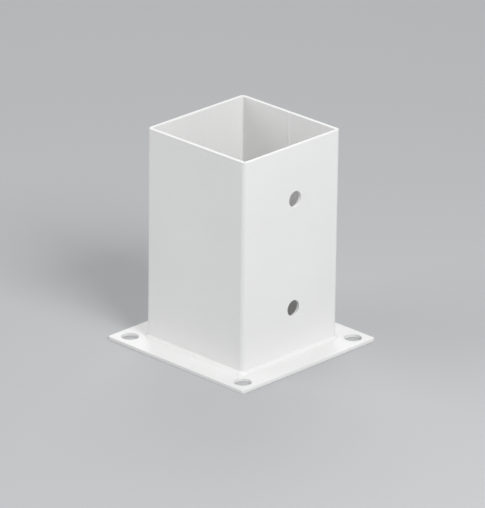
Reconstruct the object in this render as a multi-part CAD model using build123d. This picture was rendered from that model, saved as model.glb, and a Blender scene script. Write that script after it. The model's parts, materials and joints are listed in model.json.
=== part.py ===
"""Bolt-down anchor bracket with a square sleeve.

The sleeve, folded from one steel sheet, stands on a square base plate. The sheet's
two edges meet in the middle of the +Y wall, where a weld runs up the seam, and a
fillet weld runs round the sleeve's foot. The plate has an anchor hole at each
corner and a drain hole in its middle. Two bolt holes, one above the other, pass
through the sleeve's +X wall and the wall opposite.

The origin is the centre of the plate's underside, and +Z points up the sleeve.
"""

from build123d import *

import math
import os

# Width that the socket takes, and the room on each side of it, in millimetres
post_width = 100.0
post_clearance = 0.5

# Folded sleeve
wall_thickness = 3.0
bend_radius = 1.0
sleeve_length = 177.0

# Base plate
plate_thickness = 3.0
flange_width = 21.5
plate_corner_radius = 2.0

# Anchor holes and drain hole in the plate
anchor_hole_diameter = 14.0
anchor_edge_distance = 12.5
drain_hole_diameter = 14.0

# Bolt holes through the +X wall and the wall opposite
bolt_hole_diameter = 13.0
bolt_line_offset = 3.0
lower_bolt_above_plate = 40.0
upper_bolt_below_rim = 45.0

# Weld up the seam, with its cap outside the wall and its root inside
seam_gap = 1.2
seam_cap_overlap = 2.4
seam_cap_height = 0.8
seam_root_overlap = 0.6
seam_root_height = 0.3

# Fillet weld round the sleeve's foot
foot_weld_leg = 2.5
foot_weld_bulge = 0.3

# Chamfer left on the cut edges by deburring
edge_break = 0.4

# Sizes that follow
socket_width = post_width + 2 * post_clearance
sleeve_width = socket_width + 2 * wall_thickness
outer_bend_radius = bend_radius + wall_thickness
plate_width = sleeve_width + 2 * flange_width
anchor_pitch = plate_width - 2 * anchor_edge_distance
rim_height = plate_thickness + sleeve_length
bolt_heights = [plate_thickness + lower_bolt_above_plate, rim_height - upper_bolt_below_rim]


def base_plate():
    """Return the square plate with its anchor holes and drain hole."""
    with BuildPart() as plate:
        with BuildSketch():
            RectangleRounded(plate_width, plate_width, plate_corner_radius)
            with GridLocations(anchor_pitch, anchor_pitch, 2, 2):
                Circle(anchor_hole_diameter / 2, mode=Mode.SUBTRACT)
            Circle(drain_hole_diameter / 2, mode=Mode.SUBTRACT)
        extrude(amount=plate_thickness)
        chamfer(plate.faces().filter_by(Axis.Z).edges(), edge_break)
    return plate.part


def post_sleeve():
    """Return the folded sleeve, open at the seam in its +Y wall."""
    with BuildPart() as sleeve:
        with BuildSketch(Plane.XY.offset(plate_thickness)):
            RectangleRounded(sleeve_width, sleeve_width, outer_bend_radius)
            RectangleRounded(socket_width, socket_width, bend_radius, mode=Mode.SUBTRACT)
            with Locations((0, sleeve_width / 2)):
                Rectangle(seam_gap, 3 * wall_thickness, mode=Mode.SUBTRACT)
        extrude(amount=sleeve_length)
        with BuildSketch(Plane.YZ):
            with Locations(*[(bolt_line_offset, height) for height in bolt_heights]):
                Circle(bolt_hole_diameter / 2)
        extrude(amount=sleeve_width, both=True, mode=Mode.SUBTRACT)
        hole_rims = sleeve.edges().filter_by(GeomType.CIRCLE).filter_by(lambda edge: edge.is_closed)
        seam_corners = sleeve.edges().filter_by(Axis.Y).filter_by(
            lambda edge: abs(edge.center().X) < seam_gap
        )
        rim_edges = sleeve.faces().sort_by(Axis.Z)[-1].edges() - seam_corners
        chamfer(hole_rims + rim_edges, edge_break)
    return sleeve.part


def seam_weld():
    """Return the weld that closes the seam, just short of the chamfered rim."""
    outside = sleeve_width / 2
    inside = socket_width / 2
    gap = seam_gap / 2
    cap = gap + seam_cap_overlap
    root = gap + seam_root_overlap
    with BuildPart() as weld:
        with BuildSketch(Plane.XY.offset(plate_thickness)):
            with BuildLine():
                ThreePointArc((-cap, outside), (0, outside + seam_cap_height), (cap, outside))
                Polyline((cap, outside), (gap, outside), (gap, inside), (root, inside))
                ThreePointArc((root, inside), (0, inside - seam_root_height), (-root, inside))
                Polyline((-root, inside), (-gap, inside), (-gap, outside), (-cap, outside))
            make_face()
        extrude(amount=sleeve_length - edge_break)
    return weld.part


def foot_weld(seam):
    """Return the fillet weld round the foot, fitted over the lower end of the seam's cap."""
    half = sleeve_width / 2
    corners = [(half, half), (-half, half), (-half, -half), (half, -half)]
    wall_toe = (half, plate_thickness + foot_weld_leg)
    inner_corner = (half, plate_thickness)
    plate_toe = (half + foot_weld_leg, plate_thickness)
    crown_reach = foot_weld_leg / 2 + foot_weld_bulge / math.sqrt(2)
    crown = (half + crown_reach, plate_thickness + crown_reach)
    with BuildPart() as weld:
        with BuildLine(Plane.XY.offset(plate_thickness)) as foot_line:
            FilletPolyline(*corners, radius=outer_bend_radius, close=True)
        with BuildSketch(Plane.XZ):
            with BuildLine():
                Polyline(wall_toe, inner_corner, plate_toe)
                ThreePointArc(plate_toe, crown, wall_toe)
            make_face()
        sweep(path=foot_line.wire())
        add(seam, mode=Mode.SUBTRACT)
    return weld.part


os.makedirs("parts", exist_ok=True)
seam = seam_weld()
pieces = {
    "base_plate": base_plate(),
    "post_sleeve": post_sleeve(),
    "seam_weld": seam,
    "foot_weld": foot_weld(seam),
}
for name, piece in pieces.items():
    export_step(piece, f"parts/{name}.step")
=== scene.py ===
"""Looks of a bolt-down anchor bracket with a square sleeve.

The sleeve, folded from sheet steel, stands on a square base plate. A weld closes the
seam in its +Y wall, another runs round its foot, and the whole bracket is powder
coated white. Lengths are in metres. +Z points up the sleeve, and the bolt holes pass
through its +X and -X walls.
"""

import json
import logging
import math
from contextlib import contextmanager
from dataclasses import dataclass
from enum import Enum
from typing import Any, Callable, Iterator, Sequence

import bmesh
import bpy
from mathutils import Matrix, Vector


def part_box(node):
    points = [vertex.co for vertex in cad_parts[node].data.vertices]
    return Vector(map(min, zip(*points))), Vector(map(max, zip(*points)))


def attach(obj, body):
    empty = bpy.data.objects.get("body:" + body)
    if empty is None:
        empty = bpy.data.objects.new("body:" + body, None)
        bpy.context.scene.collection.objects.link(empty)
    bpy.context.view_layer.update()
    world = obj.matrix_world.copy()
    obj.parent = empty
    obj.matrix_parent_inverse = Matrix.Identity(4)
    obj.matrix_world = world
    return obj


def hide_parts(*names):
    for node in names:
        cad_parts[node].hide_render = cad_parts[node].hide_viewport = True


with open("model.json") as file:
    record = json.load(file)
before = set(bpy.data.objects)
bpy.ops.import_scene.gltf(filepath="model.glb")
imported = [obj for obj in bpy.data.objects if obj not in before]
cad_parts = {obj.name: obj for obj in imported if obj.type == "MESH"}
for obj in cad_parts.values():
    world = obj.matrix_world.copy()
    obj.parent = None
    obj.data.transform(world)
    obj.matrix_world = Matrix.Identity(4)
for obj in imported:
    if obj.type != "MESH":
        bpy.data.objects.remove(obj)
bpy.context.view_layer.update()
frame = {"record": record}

log = logging.getLogger("anchor_bracket")

MILLIMETRE = 0.001
BODY = "root"
# Points that lie closer than this are one point
MERGE_DISTANCE = 1e-6
# Decimals that a marked place is rounded to, so that holes in line share their marks
PLACE_DIGITS = 6
# A face looks along an axis if its unit normal reaches further than this along it
ALIGNED = 0.99
# Faces that meet at less than this angle are shaded as one surface
SMOOTH_ANGLE = math.radians(32.0)
# Faces that meet at more than this angle have a cut edge between them
CUT_EDGE_ANGLE = math.radians(50.0)


class Slot(Enum):
    """Material slots of the record."""

    STEEL = "coated_steel"
    WELD = "coated_weld"


class Element(Enum):
    """Kinds of mesh element that can be selected in edit mode."""

    EDGE = "EDGE"
    FACE = "FACE"


class Axis(Enum):
    """The frame's axes."""

    X = (1.0, 0.0, 0.0)
    Y = (0.0, 1.0, 0.0)
    Z = (0.0, 0.0, 1.0)

    @property
    def way(self) -> Vector:
        """Return the axis as a vector."""
        return Vector(self.value)


class Layer(Enum):
    """Layers of noise in a coat, with the shift in metres that keeps each unlike the rest."""

    WAVES = 0.0
    PITS = 0.1
    SHADE = 0.3
    GLOSS = 0.7


def activate(piece: bpy.types.Object) -> None:
    """Make one object the selected and active one.

    Args:
        piece: The object to select.
    """
    bpy.ops.object.select_all(action="DESELECT")
    piece.select_set(True)
    bpy.context.view_layer.objects.active = piece


@contextmanager
def editing(piece: bpy.types.Object) -> Iterator[None]:
    """Hold a mesh in edit mode, all of it selected, for as long as the block runs.

    Args:
        piece: The object to edit.
    """
    activate(piece)
    bpy.ops.object.mode_set(mode="EDIT")
    bpy.ops.mesh.select_mode(type="VERT")
    bpy.ops.mesh.select_all(action="SELECT")
    try:
        yield
    finally:
        bpy.ops.object.mode_set(mode="OBJECT")


def pick(piece: bpy.types.Object, element: Element, test: Callable[[Any], bool]) -> None:
    """Select, in edit mode, the elements that pass a test, and nothing else.

    Args:
        piece: The object in edit mode.
        element: The kind of element to look through.
        test: Says whether an element is wanted.
    """
    bpy.ops.mesh.select_mode(type=element.value)
    bpy.ops.mesh.select_all(action="DESELECT")
    mesh = bmesh.from_edit_mesh(piece.data)
    elements = mesh.edges if element is Element.EDGE else mesh.faces
    for item in elements:
        item.select_set(test(item))
    bmesh.update_edit_mesh(piece.data)


def score(piece: bpy.types.Object, axis: Axis, places: Sequence[float]) -> None:
    """Divide the faces of a piece in edit mode where planes across an axis meet them.

    Args:
        piece: The object in edit mode.
        axis: The axis that the planes stand across.
        places: Where on the axis they stand.
    """
    for place in places:
        bpy.ops.mesh.select_all(action="SELECT")
        bpy.ops.mesh.bisect(plane_co=axis.way * place, plane_no=axis.way)


def stands_upright(edge: bmesh.types.BMEdge) -> bool:
    """Return whether an edge runs along Z."""
    start, end = (vertex.co.xy for vertex in edge.verts)
    return (end - start).length < MERGE_DISTANCE


def lies_level(face: bmesh.types.BMFace) -> bool:
    """Return whether a face looks up or down."""
    return abs(face.normal.z) > ALIGNED


def shape_with(piece: bpy.types.Object, kind: str, **settings: Any) -> None:
    """Add a modifier to a piece and apply it.

    Args:
        piece: The object to change.
        kind: Blender's name for the modifier.
        **settings: Values for the modifier's own settings.
    """
    activate(piece)
    modifier = piece.modifiers.new(kind.lower(), kind)
    for setting, value in settings.items():
        setattr(modifier, setting, value)
    bpy.ops.object.modifier_apply(modifier=modifier.name)


def add_block(low: Vector, high: Vector) -> bpy.types.Object:
    """Add a block between two corners, with its place in its mesh.

    Args:
        low: The lowest corner.
        high: The highest corner.

    Returns:
        The new block.
    """
    bpy.ops.object.select_all(action="DESELECT")
    bpy.ops.mesh.primitive_cube_add(size=1.0, location=(low + high) / 2, scale=high - low)
    bpy.ops.object.transform_apply(location=True, rotation=True, scale=True)
    return bpy.context.object


@dataclass(frozen=True)
class RoundHole:
    """A round hole that is drilled right through a piece.

    Attributes:
        centre: The point midway along the hole's axis.
        radius: The hole's radius.
        axis: The axis that the hole runs along.
        depth: Distance between the piece's two outer faces along that axis.
    """

    centre: Vector
    radius: float
    axis: Axis
    depth: float


@dataclass(frozen=True)
class Drill:
    """Cuts round holes and rounds every cut edge of the piece.

    Attributes:
        facets: Flat sides of each hole's wall.
        overshoot: How far the drill stands out past both ends of a hole.
        margin: Distance from each hole's wall to the square that is marked out round it.
        edge_round: How far the coated edges are rounded.
        edge_steps: Facets across a rounded edge.
    """

    facets: int = 96
    overshoot: float = 5.0 * MILLIMETRE
    margin: float = 4.0 * MILLIMETRE
    edge_round: float = 0.45 * MILLIMETRE
    edge_steps: int = 3

    def cut(self, piece: bpy.types.Object, holes: Sequence[RoundHole]) -> None:
        """Cut the holes out of a piece.

        Args:
            piece: The solid to drill.
            holes: The holes to cut.
        """
        self.mark_out(piece, holes)
        for hole in holes:
            bpy.ops.object.select_all(action="DESELECT")
            bpy.ops.mesh.primitive_cylinder_add(
                vertices=self.facets,
                radius=hole.radius,
                depth=hole.depth + 2 * self.overshoot,
                location=hole.centre,
                rotation=hole.axis.way.to_track_quat("Z", "Y").to_euler(),
            )
            cutter = bpy.context.object
            shape_with(piece, "BOOLEAN", operation="DIFFERENCE", solver="EXACT", object=cutter)
            bpy.data.objects.remove(cutter)

    def mark_out(self, piece: bpy.types.Object, holes: Sequence[RoundHole]) -> None:
        """Score a square round each hole, so that the flat faces divide cleanly.

        Args:
            piece: The solid to mark.
            holes: The holes to come.
        """
        with editing(piece):
            for index, axis in enumerate(Axis):
                sides = {
                    round(hole.centre[index] + side * (hole.radius + self.margin), PLACE_DIGITS)
                    for hole in holes
                    for side in (-1, 1)
                    if hole.axis is not axis
                }
                score(piece, axis, sorted(sides))

    def round_edges(self, piece: bpy.types.Object) -> None:
        """Round the sharp edges as the coating leaves them.

        Args:
            piece: The solid whose edges are rounded.
        """
        shape_with(
            piece,
            "BEVEL",
            width=self.edge_round,
            segments=self.edge_steps,
            limit_method="ANGLE",
            angle_limit=CUT_EDGE_ANGLE,
            use_clamp_overlap=False,
        )


class NodeSheet:
    """A material's nodes, with short calls to add, set and join them."""

    def __init__(self, name: str) -> None:
        """Start a material with nothing but its surface shader.

        Args:
            name: The material's name.
        """
        self.material = bpy.data.materials.new(name)
        self.material.use_nodes = True
        self.tree = self.material.node_tree
        self.shader = self.tree.nodes["Principled BSDF"]
        self.place = self.add("ShaderNodeTexCoord").outputs["Object"]

    def add(self, kind: str, **inputs: Any) -> bpy.types.Node:
        """Add a node and fill in its inputs.

        Args:
            kind: Blender's name for the node.
            **inputs: A value, or a socket to join, for each input, spaces as underscores.

        Returns:
            The new node.
        """
        node = self.tree.nodes.new(kind)
        for name, value in inputs.items():
            self.set(node, name.replace("_", " "), value)
        return node

    def set(self, node: bpy.types.Node, name: str, value: Any) -> None:
        """Set an input of a node to a value, or join it to a socket.

        Args:
            node: The node that has the input.
            name: The input's name.
            value: A plain value or another node's output socket.
        """
        if isinstance(value, bpy.types.NodeSocket):
            self.tree.links.new(value, node.inputs[name])
        else:
            node.inputs[name].default_value = value

    def cloud(self, layer: Layer, feature: float, detail: float = 2.0) -> bpy.types.NodeSocket:
        """Add soft noise over the surface.

        Args:
            layer: The layer that the noise is for.
            feature: The size of the noise's features, in metres.
            detail: How many octaves of finer noise it has.

        Returns:
            The noise's value, from 0 to 1.
        """
        moved = self.add("ShaderNodeMapping", Vector=self.place, Location=(layer.value,) * 3)
        noise = self.add(
            "ShaderNodeTexNoise", Vector=moved.outputs["Vector"], Scale=1.0 / feature, Detail=detail
        )
        return noise.outputs["Fac"]

    def between(
        self, factor: bpy.types.NodeSocket, low: float, high: float, contrast: float = 0.25
    ) -> bpy.types.NodeSocket:
        """Spread noise over a range.

        Args:
            factor: The noise, which lies mostly near its middle.
            low: The value at the noise's low end.
            high: The value at the noise's high end.
            contrast: How far from its middle the noise is taken to reach.

        Returns:
            A value between low and high.
        """
        spread = self.add("ShaderNodeMapRange", Value=factor)
        middle = 0.5
        spread.inputs["From Min"].default_value = middle - contrast
        spread.inputs["From Max"].default_value = middle + contrast
        spread.inputs["To Min"].default_value = low
        spread.inputs["To Max"].default_value = high
        return spread.outputs["Result"]

    def bump(
        self, height: bpy.types.NodeSocket, depth: float, under: bpy.types.NodeSocket | None = None
    ) -> bpy.types.NodeSocket:
        """Add relief to the surface.

        Args:
            height: The relief's height, from 0 to 1.
            depth: What a height of 1 stands for, in metres.
            under: Normals of a coarser relief that this one lies on.

        Returns:
            The relief's normals.
        """
        relief = self.add("ShaderNodeBump", Height=height, Distance=depth, Strength=1.0)
        if under is not None:
            self.set(relief, "Normal", under)
        return relief.outputs["Normal"]


@dataclass(frozen=True)
class PowderCoat:
    """Satin powder coating, baked on steel.

    Attributes:
        name: The material's name.
        pale: The coat's lighter shade.
        deep: The coat's darker shade, a touch away from the lighter one.
        shade_patch: Size of the patches in which the shade drifts.
        gloss: Lowest and highest roughness.
        gloss_patch: Size of the patches in which the gloss drifts.
        peel: Size of the fine pits that a baked coat sets with.
        peel_depth: Depth of those pits.
        wave: Size of the slow waves in the metal under the coat.
        wave_depth: Depth of those waves.
    """

    name: str
    pale: tuple[float, float, float] = (0.875, 0.877, 0.872)
    deep: tuple[float, float, float] = (0.85, 0.853, 0.847)
    shade_patch: float = 55.0 * MILLIMETRE
    gloss: tuple[float, float] = (0.32, 0.42)
    gloss_patch: float = 14.0 * MILLIMETRE
    peel: float = 1.4 * MILLIMETRE
    peel_depth: float = 0.1 * MILLIMETRE
    wave: float = 30.0 * MILLIMETRE
    wave_depth: float = 0.25 * MILLIMETRE

    def build(self) -> bpy.types.Material:
        """Return the coating as a material."""
        sheet = NodeSheet(self.name)
        drift = sheet.between(sheet.cloud(Layer.SHADE, self.shade_patch), 0.0, 1.0)
        shade = sheet.add("ShaderNodeValToRGB", Fac=drift)
        for stop, colour in zip(shade.color_ramp.elements, (self.pale, self.deep)):
            stop.color = (*colour, 1.0)
        sheet.set(sheet.shader, "Base Color", shade.outputs["Color"])
        gloss = sheet.between(sheet.cloud(Layer.GLOSS, self.gloss_patch), *self.gloss)
        sheet.set(sheet.shader, "Roughness", gloss)
        waves = sheet.bump(sheet.cloud(Layer.WAVES, self.wave, detail=1.0), self.wave_depth)
        pits = sheet.bump(sheet.cloud(Layer.PITS, self.peel), self.peel_depth, under=waves)
        sheet.set(sheet.shader, "Normal", pits)
        return sheet.material


@dataclass(frozen=True)
class MattePaint:
    """Plain matte paint for the floor.

    Attributes:
        name: The material's name.
        colour: The paint's colour.
        roughness: How matte it is.
        shine: Strength of its highlights.
    """

    name: str
    colour: tuple[float, float, float]
    roughness: float = 0.9
    shine: float = 0.2

    def build(self) -> bpy.types.Material:
        """Return the paint as a material."""
        material = bpy.data.materials.new(self.name)
        material.use_nodes = True
        shader = material.node_tree.nodes["Principled BSDF"]
        shader.inputs["Base Color"].default_value = (*self.colour, 1.0)
        shader.inputs["Roughness"].default_value = self.roughness
        shader.inputs["Specular IOR Level"].default_value = self.shine
        return material


@dataclass(frozen=True)
class Dressing:
    """What a finished mesh is called, stands for and is coated with.

    Attributes:
        name: The piece's name.
        node: The frame's node that the piece replaces.
        slot: The record's material slot that it belongs to; not used.
        material: Its finish.
    """

    name: str
    node: str
    slot: Slot
    material: bpy.types.Material

    def put_on(self, piece: bpy.types.Object) -> bpy.types.Object:
        """Clean a piece's mesh, smooth its shading and tie it to the frame.

        Args:
            piece: The modelled piece.

        Returns:
            The same piece, ready to render.
        """
        activate(piece)
        bpy.ops.object.transform_apply(location=True, rotation=True, scale=True)
        with editing(piece):
            bpy.ops.mesh.remove_doubles(threshold=MERGE_DISTANCE)
            bpy.ops.mesh.normals_make_consistent(inside=False)
        bpy.ops.object.shade_smooth_by_angle(angle=SMOOTH_ANGLE)
        shape_with(piece, "WEIGHTED_NORMAL", keep_sharp=True)
        piece.name = self.name
        piece.data.materials.clear()
        piece.data.materials.append(self.material)
        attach(piece, BODY)
        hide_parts(self.node)
        return piece


@dataclass(frozen=True)
class BracketSizes:
    """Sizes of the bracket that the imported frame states.

    Attributes:
        plate_width: Width of the square base plate.
        plate_top: Height of the plate's upper face.
        sleeve_width: Width of the square sleeve, outside.
        rim: Height of the sleeve's rim.
        anchor_pitch: Distance between neighbouring anchor holes.
        anchor_radius: Radius of an anchor hole.
        bolt_offset: How far the bolt holes stand towards +Y from the middle.
        bolt_heights: Heights of the bolt holes.
        bolt_radius: Radius of a bolt hole.
        seam_low: Lowest corner of the seam's weld.
        seam_high: Highest corner of the seam's weld.
        foot_leg: Leg of the fillet weld round the foot.
    """

    plate_width: float
    plate_top: float
    sleeve_width: float
    rim: float
    anchor_pitch: float
    anchor_radius: float
    bolt_offset: float
    bolt_heights: tuple[float, float]
    bolt_radius: float
    seam_low: Vector
    seam_high: Vector
    foot_leg: float

    @classmethod
    def from_frame(cls) -> "BracketSizes":
        """Return the sizes, read from the frame's nodes and the record's mounts."""
        mounts = {mount["name"]: mount for mount in frame["record"]["mounts"]}
        anchors = mounts["anchor_holes"]["dims"]
        bolts = mounts["post_bolts_right"]
        bolt_half_spacing = bolts["dims"]["spacing_y_mm"] * MILLIMETRE / 2
        _, bolt_offset, bolt_middle = bolts["pos_m"]
        plate_low, plate_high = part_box("base_plate")
        sleeve_low, sleeve_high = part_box("post_sleeve")
        seam_low, seam_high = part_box("seam_weld")
        _, foot_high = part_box("foot_weld")
        return cls(
            plate_width=plate_high.x - plate_low.x,
            plate_top=plate_high.z,
            sleeve_width=sleeve_high.x - sleeve_low.x,
            rim=sleeve_high.z,
            anchor_pitch=anchors["spacing_x_mm"] * MILLIMETRE,
            anchor_radius=anchors["hole_r_mm"] * MILLIMETRE,
            bolt_offset=bolt_offset,
            bolt_heights=(bolt_middle - bolt_half_spacing, bolt_middle + bolt_half_spacing),
            bolt_radius=bolts["dims"]["hole_r_mm"] * MILLIMETRE,
            seam_low=seam_low,
            seam_high=seam_high,
            foot_leg=foot_high.z - plate_high.z,
        )


@dataclass(frozen=True)
class BasePlate:
    """The square plate that is bolted down.

    Attributes:
        sizes: The bracket's sizes.
        drill: Cuts the holes and rounds the edges.
        corner_radius: Radius of the plate's four corners.
        corner_steps: Facets round a corner.
        drain_radius: Radius of the drain hole in the plate's middle.
    """

    sizes: BracketSizes
    drill: Drill
    corner_radius: float = 2.0 * MILLIMETRE
    corner_steps: int = 6
    drain_radius: float = 7.0 * MILLIMETRE

    def build(self, material: bpy.types.Material) -> bpy.types.Object:
        """Model and dress the plate.

        Args:
            material: The plate's finish.

        Returns:
            The finished plate.
        """
        half = self.sizes.plate_width / 2
        piece = add_block(Vector((-half, -half, 0.0)), Vector((half, half, self.sizes.plate_top)))
        with editing(piece):
            pick(piece, Element.EDGE, stands_upright)
            bpy.ops.mesh.bevel(offset=self.corner_radius, segments=self.corner_steps)
        self.drill.cut(piece, self.holes())
        self.drill.round_edges(piece)
        return Dressing("coated_plate", "base_plate", Slot.STEEL, material).put_on(piece)

    def holes(self) -> list[RoundHole]:
        """Return the four anchor holes and the drain hole."""
        thickness = self.sizes.plate_top
        middle = thickness / 2
        half_pitch = self.sizes.anchor_pitch / 2
        corners = [(x, y) for x in (-half_pitch, half_pitch) for y in (-half_pitch, half_pitch)]
        anchors = [
            RoundHole(Vector((x, y, middle)), self.sizes.anchor_radius, Axis.Z, thickness)
            for x, y in corners
        ]
        drain = RoundHole(Vector((0.0, 0.0, middle)), self.drain_radius, Axis.Z, thickness)
        return [*anchors, drain]


@dataclass(frozen=True)
class FoldedSheet:
    """The steel sheet that the sleeve is folded from.

    Attributes:
        wall: Thickness of the sheet.
        bend_radius: Outer radius of its four bends.
        bend_steps: Facets round a bend.
        seam_gap: Width of the gap between its two edges.
    """

    wall: float = 3.0 * MILLIMETRE
    bend_radius: float = 4.0 * MILLIMETRE
    bend_steps: int = 12
    seam_gap: float = 1.2 * MILLIMETRE


@dataclass(frozen=True)
class PostSleeve:
    """The sleeve, folded from one sheet and open at its seam until it is welded.

    Attributes:
        sizes: The bracket's sizes.
        sheet: The sheet that it is folded from.
        drill: Cuts the bolt holes and rounds the edges.
    """

    sizes: BracketSizes
    sheet: FoldedSheet
    drill: Drill

    def build(self, material: bpy.types.Material) -> bpy.types.Object:
        """Model and dress the sleeve.

        Args:
            material: The sleeve's finish.

        Returns:
            The finished sleeve.
        """
        half = self.sizes.sleeve_width / 2
        low = Vector((-half, -half, self.sizes.plate_top))
        piece = add_block(low, Vector((half, half, self.sizes.rim)))
        with editing(piece):
            pick(piece, Element.EDGE, stands_upright)
            bpy.ops.mesh.bevel(offset=self.sheet.bend_radius, segments=self.sheet.bend_steps)
            pick(piece, Element.FACE, lies_level)
            bpy.ops.mesh.delete(type="FACE")
            self.part_seam(piece)
        shape_with(piece, "SOLIDIFY", thickness=self.sheet.wall, offset=-1.0, use_even_offset=True)
        self.drill.cut(piece, self.holes())
        self.drill.round_edges(piece)
        return Dressing("coated_sleeve", "post_sleeve", Slot.STEEL, material).put_on(piece)

    def part_seam(self, piece: bpy.types.Object) -> None:
        """Cut the strip of the seam's gap out of the +Y wall.

        Args:
            piece: The sleeve in edit mode, still a surface without thickness.
        """
        edge = self.sheet.seam_gap / 2
        for place in (-edge, edge):
            pick(piece, Element.FACE, lambda face: face.normal.y > ALIGNED)
            bpy.ops.mesh.bisect(plane_co=(place, 0.0, 0.0), plane_no=(1.0, 0.0, 0.0))
        pick(
            piece,
            Element.FACE,
            lambda face: face.normal.y > ALIGNED and abs(face.calc_center_median().x) < edge,
        )
        bpy.ops.mesh.delete(type="FACE")

    def holes(self) -> list[RoundHole]:
        """Return the two bolt holes, each through both bolted walls."""
        return [
            RoundHole(
                Vector((0.0, self.sizes.bolt_offset, height)),
                self.sizes.bolt_radius,
                Axis.X,
                self.sizes.sleeve_width,
            )
            for height in self.sizes.bolt_heights
        ]


@dataclass(frozen=True)
class Ripple:
    """The wave that a weld pool leaves each time it sets.

    Attributes:
        pitch: The wave's length along the bead, about.
        height: How far its crest stands out.
        lag: How far the toes of the wave trail behind its middle.
        rows: Facets along one wave.
        wander: How far the bead strays from its mean size, and over what length, each
            of which is a layer of its own.
    """

    pitch: float = 1.5 * MILLIMETRE
    height: float = 0.12 * MILLIMETRE
    lag: float = 1.0 * MILLIMETRE
    rows: int = 5
    wander: tuple[tuple[float, float], ...] = (
        (0.26 * MILLIMETRE, 9.0 * MILLIMETRE),
        (0.1 * MILLIMETRE, 2.4 * MILLIMETRE),
    )

    def place(self, point: Vector, face: float, outward: Vector, length: float) -> Vector:
        """Return where a point of the smooth bead lies on the wave.

        Args:
            point: The point, with X along the bead.
            face: 1 in the middle of the open face, 0 at its toes and on hidden sides.
            outward: The way the open face looks.
            length: The wave's exact length.

        Returns:
            The moved point.
        """
        phase = (point.x / length) % 1.0
        crest = math.sin(math.pi * phase) * self.height * face
        return point + outward * crest + Vector((self.lag * face, 0.0, 0.0))


def section_point(across: float, out: float) -> Vector:
    """Return a point of a bead's section, across along Y and out along Z."""
    return Vector((0.0, across, out))


def bow(start: Vector, end: Vector, rise: float, steps: int) -> list[Vector]:
    """Return the points of a circular arc in the YZ plane.

    Args:
        start: The arc's first point.
        end: Its last point, which is left out of the list.
        rise: How far its middle stands off the chord, to the right as seen from +X.
        steps: How many points.

    Returns:
        The points from start on.
    """
    chord = end - start
    half = chord.length / 2
    radius = (half**2 + rise**2) / (2 * rise)
    along = chord.normalized()
    right = Vector((0.0, along.z, -along.y))
    centre = (start + end) / 2 - right * (radius - rise)
    sweep = math.asin(half / radius)
    angles = [sweep * (2 * step / steps - 1) for step in range(steps)]
    return [centre + radius * (along * math.sin(angle) + right * math.cos(angle)) for angle in angles]


@dataclass(frozen=True)
class Bead:
    """A length of weld bead, modelled as one ripple that is repeated.

    Attributes:
        outline: The bead's section in the YZ plane, as a closed ring of points.
        outward: The way the bead's open face looks.
        face_at: Gives how far up the open face a point is: 1 in its middle, 0 off it.
        length: The bead's length, along X from the origin.
        ripple: The wave on its face.
    """

    outline: Sequence[Vector]
    outward: Vector
    face_at: Callable[[Vector], float]
    length: float
    ripple: Ripple

    def build(self) -> bpy.types.Object:
        """Return the bead as an open tube along X."""
        waves = round(self.length / self.ripple.pitch)
        pitch = self.length / waves
        bpy.ops.object.select_all(action="DESELECT")
        bpy.ops.mesh.primitive_circle_add(vertices=len(self.outline), fill_type="NOTHING")
        piece = bpy.context.object
        for vertex, point in zip(piece.data.vertices, self.outline):
            vertex.co = point
        with editing(piece):
            for _ in range(self.ripple.rows):
                bpy.ops.mesh.extrude_region_move(
                    TRANSFORM_OT_translate={"value": (pitch / self.ripple.rows, 0.0, 0.0)}
                )
        for vertex in piece.data.vertices:
            face = self.face_at(vertex.co)
            vertex.co = self.ripple.place(vertex.co, face, self.outward, pitch)
        shape_with(
            piece,
            "ARRAY",
            count=waves,
            use_relative_offset=False,
            use_constant_offset=True,
            constant_offset_displace=(pitch, 0.0, 0.0),
            use_merge_vertices=True,
            merge_threshold=MERGE_DISTANCE,
        )
        return piece

    def stray(self, piece: bpy.types.Object) -> None:
        """Let the finished bead swell and shrink a little, as a bead laid by hand does.

        Args:
            piece: The bead in its final place.
        """
        for size, patch in self.ripple.wander:
            texture = bpy.data.textures.new("bead_wander", "CLOUDS")
            texture.noise_scale = patch
            shape_with(piece, "DISPLACE", texture=texture, strength=size, mid_level=0.5)


@dataclass(frozen=True)
class Weld:
    """What the bracket's two welds have in common.

    Attributes:
        sizes: The bracket's sizes.
        sheet: The sheet that the sleeve is folded from.
        ripple: The wave on the weld's open face.
        bury: How far the weld reaches into the steel that it joins.
    """

    sizes: BracketSizes
    sheet: FoldedSheet
    ripple: Ripple = Ripple()
    bury: float = 0.15 * MILLIMETRE


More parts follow.
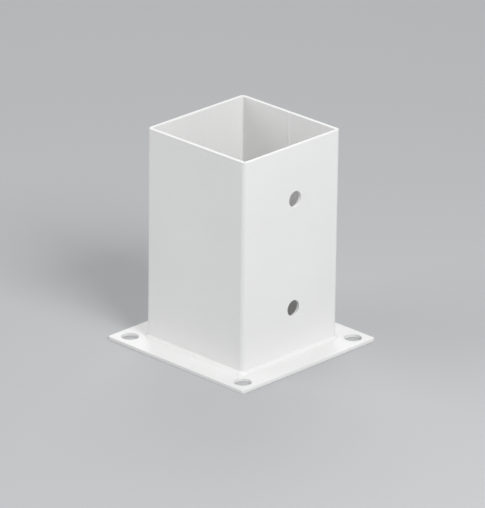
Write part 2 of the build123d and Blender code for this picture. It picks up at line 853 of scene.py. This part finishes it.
@dataclass(frozen=True)
class SeamWeld(Weld):
    """The weld that closes the seam, with a cap outside and a root inside.

    Attributes:
        root_width: Width of the root inside the sleeve.
        spare: Length of bead that is laid past each end of the seam and cut off.
        fade: Length over which the cap runs out below the rim.
        faded_width: Share of the cap's width that is left at the rim.
        steps: Facets across the cap, and across the root.
    """

    root_width: float = 2.4 * MILLIMETRE
    spare: float = 4.5 * MILLIMETRE
    fade: float = 3.5 * MILLIMETRE
    faded_width: float = 0.5
    steps: int = 12

    def build(self, material: bpy.types.Material) -> bpy.types.Object:
        """Model and dress the seam's weld.

        Args:
            material: The weld's finish.

        Returns:
            The finished weld.
        """
        low, high = self.sizes.seam_low, self.sizes.seam_high
        cap_half = (high.x - low.x) / 2
        wall_face = self.sizes.sleeve_width / 2
        bead = Bead(
            outline=self.outline(cap_half, high.y - wall_face, wall_face - self.sheet.wall - low.y),
            outward=Axis.Z.way,
            face_at=lambda point: max(0.0, 1 - (point.y / cap_half) ** 2) if point.z > 0 else 0.0,
            length=high.z - low.z + 2 * self.spare,
            ripple=self.ripple,
        )
        piece = bead.build()
        upright = Matrix((Axis.Y.way, Axis.Z.way, Axis.X.way))
        foot = Vector((0.0, wall_face, low.z - self.spare))
        piece.matrix_world = Matrix.Translation(foot) @ upright.to_4x4()
        bpy.ops.object.transform_apply(location=True, rotation=True, scale=True)
        self.trim(piece)
        bead.stray(piece)
        self.fade_out(piece)
        return Dressing("seam_bead", "seam_weld", Slot.WELD, material).put_on(piece)

    def outline(self, cap_half: float, cap_rise: float, root_rise: float) -> list[Vector]:
        """Return the section, with Z out of the wall from its outer face.

        Args:
            cap_half: Half the cap's width.
            cap_rise: How far the cap stands out.
            root_rise: How far the root stands into the sleeve.

        Returns:
            The section's points.
        """
        gap_half = self.sheet.seam_gap / 2 + self.bury
        root_half = self.root_width / 2
        skin = -self.bury
        inner_skin = self.bury - self.sheet.wall
        left_toe = section_point(-cap_half, skin)
        right_toe = section_point(cap_half, skin)
        left_root = section_point(-root_half, inner_skin)
        right_root = section_point(root_half, inner_skin)
        return [
            *bow(right_toe, left_toe, cap_rise + self.bury, self.steps),
            left_toe,
            section_point(-gap_half, skin),
            section_point(-gap_half, inner_skin),
            *bow(left_root, right_root, root_rise + self.bury, self.steps),
            right_root,
            section_point(gap_half, inner_skin),
            section_point(gap_half, skin),
        ]

    def trim(self, piece: bpy.types.Object) -> None:
        """Cut the bead to length.

        Args:
            piece: The upright bead, an open tube that is too long at both ends.
        """
        low, high = self.sizes.seam_low, self.sizes.seam_high
        with editing(piece):
            for end, way in ((low, -1.0), (high, 1.0)):
                bpy.ops.mesh.select_all(action="SELECT")
                bpy.ops.mesh.bisect(
                    plane_co=end, plane_no=(0.0, 0.0, way), use_fill=True, clear_outer=True
                )

    def fade_out(self, piece: bpy.types.Object) -> None:
        """Let the cap run out in a rounded end, flush with the wall, below the rim.

        Args:
            piece: The bead in its final place.
        """
        wall_face = self.sizes.sleeve_width / 2
        start = self.sizes.seam_high.z - self.fade
        for vertex in piece.data.vertices:
            gone = min(1.0, (vertex.co.z - start) / self.fade)
            if gone > 0 and vertex.co.y > wall_face:
                left = math.sqrt(1 - gone**2)
                vertex.co.y = wall_face + (vertex.co.y - wall_face) * left
                vertex.co.x *= self.faded_width + (1 - self.faded_width) * left


@dataclass(frozen=True)
class FootWeld(Weld):
    """The fillet weld that runs round the sleeve's foot.

    Attributes:
        bulge: How far the weld's face stands off the flat.
        ring_gap: Most that the bead's two ends may miss each other by where they meet.
        steps: Facets across its face.
    """

    bulge: float = 0.2 * MILLIMETRE
    ring_gap: float = 0.03 * MILLIMETRE
    steps: int = 10

    def build(self, material: bpy.types.Material) -> bpy.types.Object:
        """Model and dress the weld round the foot.

        Args:
            material: The weld's finish.

        Returns:
            The finished weld.
        """
        leg = self.sizes.foot_leg
        path, length = self.path()
        bead = Bead(
            outline=self.outline(leg),
            outward=Vector((0.0, 1.0, 1.0)).normalized(),
            face_at=lambda point: self.face_at(point, leg),
            length=length,
            ripple=self.ripple,
        )
        piece = bead.build()
        shape_with(piece, "CURVE", object=path, deform_axis="POS_X")
        bpy.data.objects.remove(path)
        with editing(piece):
            bpy.ops.mesh.remove_doubles(threshold=self.ring_gap)
        bead.stray(piece)
        return Dressing("foot_bead", "foot_weld", Slot.WELD, material).put_on(piece)

    def outline(self, leg: float) -> list[Vector]:
        """Return the section, with Y out of the sleeve from its outer face and Z up.

        Args:
            leg: The weld's leg.

        Returns:
            The section's points.
        """
        plate_top = self.sizes.plate_top
        plate_toe = section_point(leg, plate_top)
        wall_toe = section_point(0.0, plate_top + leg)
        return [
            *bow(plate_toe, wall_toe, self.bulge, self.steps),
            wall_toe,
            section_point(-self.bury, plate_top + leg),
            section_point(-self.bury, plate_top - self.bury),
            section_point(leg, plate_top - self.bury),
        ]

    def face_at(self, point: Vector, leg: float) -> float:
        """Return how far up the open face a point is.

        Args:
            point: The point of the section.
            leg: The weld's leg.

        Returns:
            1 in the middle of the face, and 0 at its toes and on the buried sides.
        """
        height = point.z - self.sizes.plate_top
        on_face = height + point.y > leg
        across = (height - point.y) / leg
        return max(0.0, 1 - across**2) if on_face else 0.0

    def path(self) -> tuple[bpy.types.Object, float]:
        """Return the line round the sleeve, clockwise seen from above, and its length."""
        bpy.ops.object.select_all(action="DESELECT")
        bpy.ops.mesh.primitive_plane_add(size=self.sizes.sleeve_width)
        line = bpy.context.object
        with editing(line):
            bpy.ops.mesh.bevel(
                offset=self.sheet.bend_radius, segments=self.sheet.bend_steps, affect="VERTICES"
            )
            bpy.ops.mesh.delete(type="ONLY_FACE")
        activate(line)
        bpy.ops.object.convert(target="CURVE")
        line.data.dimensions = "2D"
        points = [point.co.xyz for point in line.data.splines[0].points]
        sides = zip(points, points[1:] + points[:1])
        return line, sum((end - start).length for start, end in sides)


def direction(azimuth: float, elevation: float) -> Vector:
    """Return the unit vector from the bracket towards a place in the studio.

    Args:
        azimuth: Degrees round the bracket from -Y towards +X.
        elevation: Degrees above the floor.

    Returns:
        The vector.
    """
    turn = math.radians(azimuth)
    lift = math.radians(elevation)
    return Vector((math.sin(turn) * math.cos(lift), -math.cos(turn) * math.cos(lift), math.sin(lift)))


@dataclass(frozen=True)
class SoftBox:
    """A square studio lamp that looks at the bracket.

    Attributes:
        name: The lamp's name.
        azimuth: Degrees round the bracket from -Y towards +X.
        elevation: Degrees above the floor.
        distance: How far off it stands.
        width: Its width.
        power: Its power in watts.
    """

    name: str
    azimuth: float
    elevation: float
    distance: float
    width: float
    power: float

    def build(self, target: Vector) -> None:
        """Add the lamp.

        Args:
            target: The point that the lamp looks at.
        """
        towards = direction(self.azimuth, self.elevation)
        data = bpy.data.lights.new(self.name, "AREA")
        data.shape = "SQUARE"
        data.size = self.width
        data.energy = self.power
        lamp = bpy.data.objects.new(self.name, data)
        bpy.context.scene.collection.objects.link(lamp)
        lamp.location = target + towards * self.distance
        lamp.rotation_euler = towards.to_track_quat("Z", "Y").to_euler()


@dataclass(frozen=True)
class Studio:
    """The pale floor, the soft light and the camera.

    Attributes:
        aim: Where the camera looks.
        azimuth: Degrees from -Y towards +X at which the camera stands.
        elevation: Degrees above the floor at which it stands.
        roll: Degrees that the camera is turned about its line of sight.
        distance: How far off it stands.
        lens: Its focal length in millimetres.
        floor_width: Width of the floor.
        floor_colour: Colour of the floor.
        sky_colour: Colour of the light from all round.
        sky_strength: Strength of that light.
        lamps: The studio lamps.
    """

    aim: tuple[float, float, float] = (0.0, 0.0, 0.074)
    azimuth: float = 44.13
    elevation: float = 22.37
    roll: float = 0.7
    distance: float = 4.0
    lens: float = 359.8
    floor_width: float = 30.0
    floor_colour: tuple[float, float, float] = (0.53, 0.535, 0.545)
    sky_colour: tuple[float, float, float] = (1.0, 1.0, 1.0)
    sky_strength: float = 0.42
    lamps: tuple[SoftBox, ...] = (
        SoftBox("key_lamp", azimuth=78.0, elevation=43.0, distance=1.6, width=0.7, power=15.0),
        SoftBox("fill_lamp", azimuth=-40.0, elevation=28.0, distance=1.9, width=1.4, power=10.0),
        SoftBox("back_lamp", azimuth=222.0, elevation=36.0, distance=2.2, width=1.2, power=9.0),
    )

    def build(self) -> None:
        """Set up the floor, the light and the camera."""
        self.lay_floor()
        self.light()
        self.place_camera()
        bpy.context.scene.view_settings.view_transform = "Standard"

    def lay_floor(self) -> None:
        """Lay the floor under the bracket."""
        bpy.ops.object.select_all(action="DESELECT")
        bpy.ops.mesh.primitive_plane_add(size=self.floor_width)
        floor = bpy.context.object
        floor.name = "studio_floor"
        floor.data.materials.append(MattePaint("floor_paint", self.floor_colour).build())

    def light(self) -> None:
        """Light the studio from all round and from its lamps."""
        world = bpy.data.worlds.new("studio_light")
        world.use_nodes = True
        sky = world.node_tree.nodes["Background"]
        sky.inputs["Color"].default_value = (*self.sky_colour, 1.0)
        sky.inputs["Strength"].default_value = self.sky_strength
        bpy.context.scene.world = world
        for lamp in self.lamps:
            lamp.build(Vector(self.aim))

    def place_camera(self) -> None:
        """Place the camera at the photograph's viewing angle."""
        data = bpy.data.cameras.new("photo_camera")
        data.lens = self.lens
        camera = bpy.data.objects.new("photo_camera", data)
        bpy.context.scene.collection.objects.link(camera)
        back = direction(self.azimuth, self.elevation)
        looking = back.to_track_quat("Z", "Y").to_matrix()
        rolled = looking @ Matrix.Rotation(math.radians(self.roll), 3, "Z")
        place = Vector(self.aim) + back * self.distance
        camera.matrix_world = Matrix.Translation(place) @ rolled.to_4x4()
        bpy.context.scene.camera = camera


def main() -> None:
    """Build the bracket's pieces and the studio, and report each piece."""
    logging.basicConfig(level=logging.INFO, format="%(name)s: %(message)s")
    sizes = BracketSizes.from_frame()
    sheet = FoldedSheet()
    drill = Drill()
    coat = PowderCoat("white_powder_coat").build()
    weld_coat = PowderCoat("white_coat_on_weld", peel=1.0 * MILLIMETRE, gloss=(0.36, 0.46)).build()
    Studio().build()
    pieces = (
        BasePlate(sizes, drill).build(coat),
        PostSleeve(sizes, sheet, drill).build(coat),
        SeamWeld(sizes, sheet).build(weld_coat),
        FootWeld(sizes, sheet).build(weld_coat),
    )
    for piece in pieces:
        log.info("%s: %d faces", piece.name, len(piece.data.polygons))


if __name__ == "__main__":
    main()
